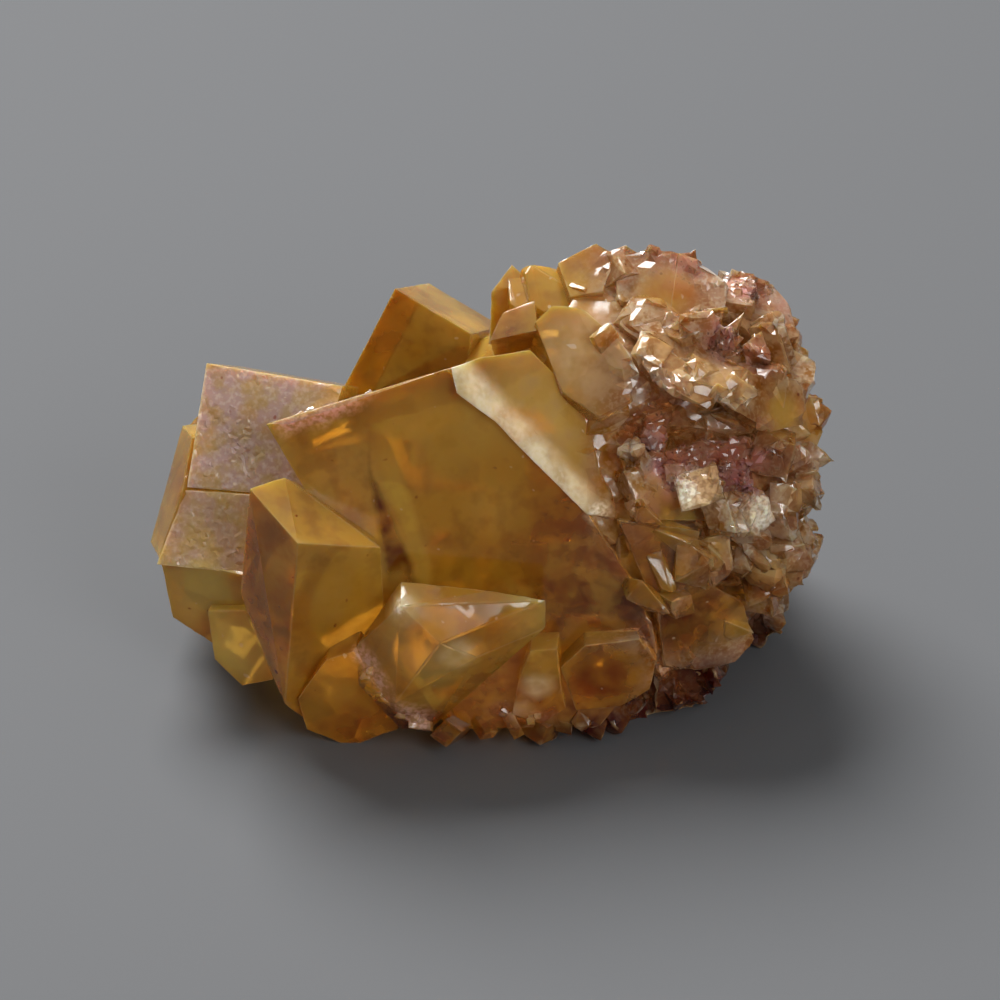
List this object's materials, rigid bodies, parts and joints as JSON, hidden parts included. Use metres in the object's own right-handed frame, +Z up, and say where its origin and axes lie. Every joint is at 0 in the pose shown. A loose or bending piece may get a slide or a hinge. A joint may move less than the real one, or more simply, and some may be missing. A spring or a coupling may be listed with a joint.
{
  "type": "fluorite specimen",
  "caption": "Honey-yellow fluorite mineral specimen: blocky intergrown crystals with a crowded, broken druse at one end, resting on a flat break.",
  "frame": {"origin": "on the surface it rests on, under the middle of its bounding box", "axes": "+Z up, +X along the length towards the broken druse, -Y the display side"},
  "size_m": [0.0428, 0.0298, 0.0268],
  "materials": {
    "honey_fluorite": "gloss"
  },
  "bodies": {
    "root": {"fluorite_cluster": "honey_fluorite"}
  },
  "joints": []
}
